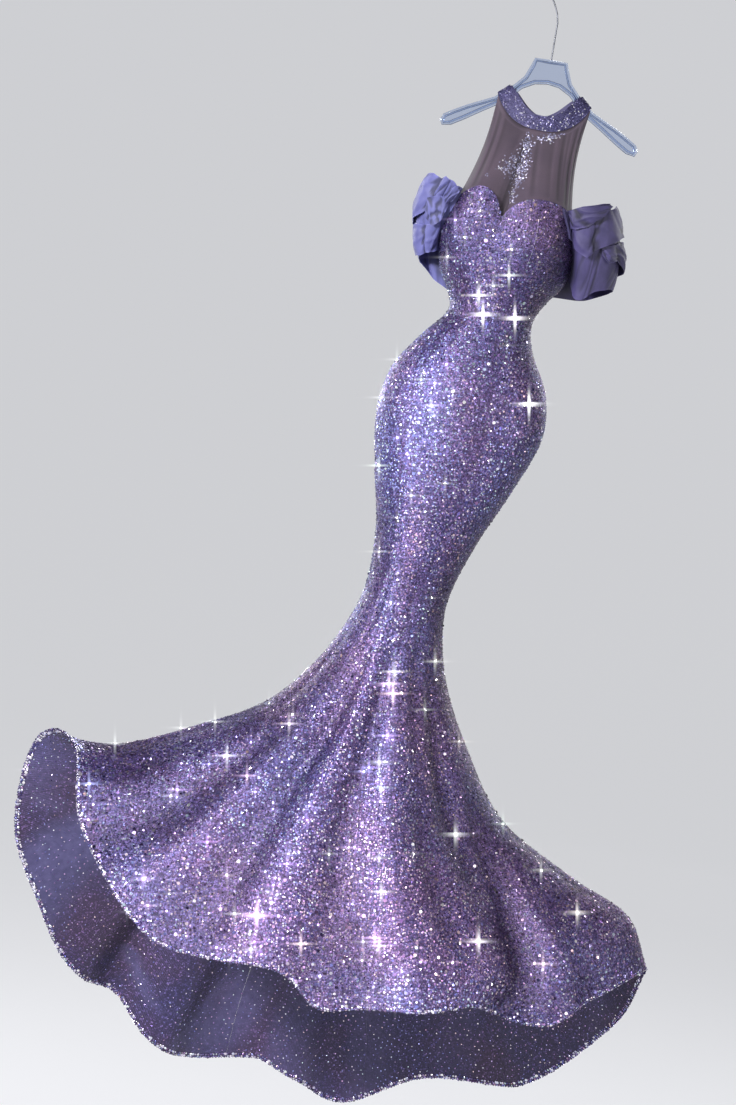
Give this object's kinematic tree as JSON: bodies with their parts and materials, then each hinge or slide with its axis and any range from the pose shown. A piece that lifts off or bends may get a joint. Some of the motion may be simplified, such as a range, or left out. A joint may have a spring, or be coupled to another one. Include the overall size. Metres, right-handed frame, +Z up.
{
  "type": "evening gown on a hanger",
  "caption": "Long fitted mermaid gown with a halter neckband, sheer yoke, off-shoulder ruffle sleeves and a swept trumpet skirt with a train, hanging on a clear hanger.",
  "frame": {"origin": "inside top of the hanger hook's bow, where it hangs on a rail", "axes": "+Z up along the hanging gown, -Y out of its front, +X to the viewer's right (the wearer's left)"},
  "size_m": [1.2396, 0.6979, 2.246],
  "materials": {
    "sequined_cloth": "densely sequined and beaded, sparkling",
    "beaded_band": "satin with small crystals",
    "organza": "crisp matte organza",
    "tulle": "sheer illusion tulle",
    "acrylic": "clear moulded acrylic, polished",
    "hook_steel": "polished steel wire"
  },
  "bodies": {
    "root": {"centre_front": "sequined_cloth", "side_front_left": "sequined_cloth", "side_front_right": "sequined_cloth", "side_back_left": "sequined_cloth", "side_back_right": "sequined_cloth", "centre_back_left": "sequined_cloth", "centre_back_right": "sequined_cloth", "neckband": "beaded_band", "nape_tab": "beaded_band", "yoke_front": "tulle", "sleeve_left_loop": "organza", "sleeve_left_petal_strap": "organza", "sleeve_left_petal_tongue": "organza", "sleeve_left_petal_lobe": "organza", "sleeve_left_petal_lower": "organza", "sleeve_right_loop": "organza", "sleeve_right_petal_upper": "organza", "sleeve_right_petal_middle": "organza", "sleeve_right_petal_outer": "organza", "sleeve_right_petal_back": "organza", "sleeve_left_petal_back": "organza", "sleeve_right_gathers": "organza", "hanger_body": "acrylic", "hanger_hook": "hook_steel"}
  },
  "joints": []
}
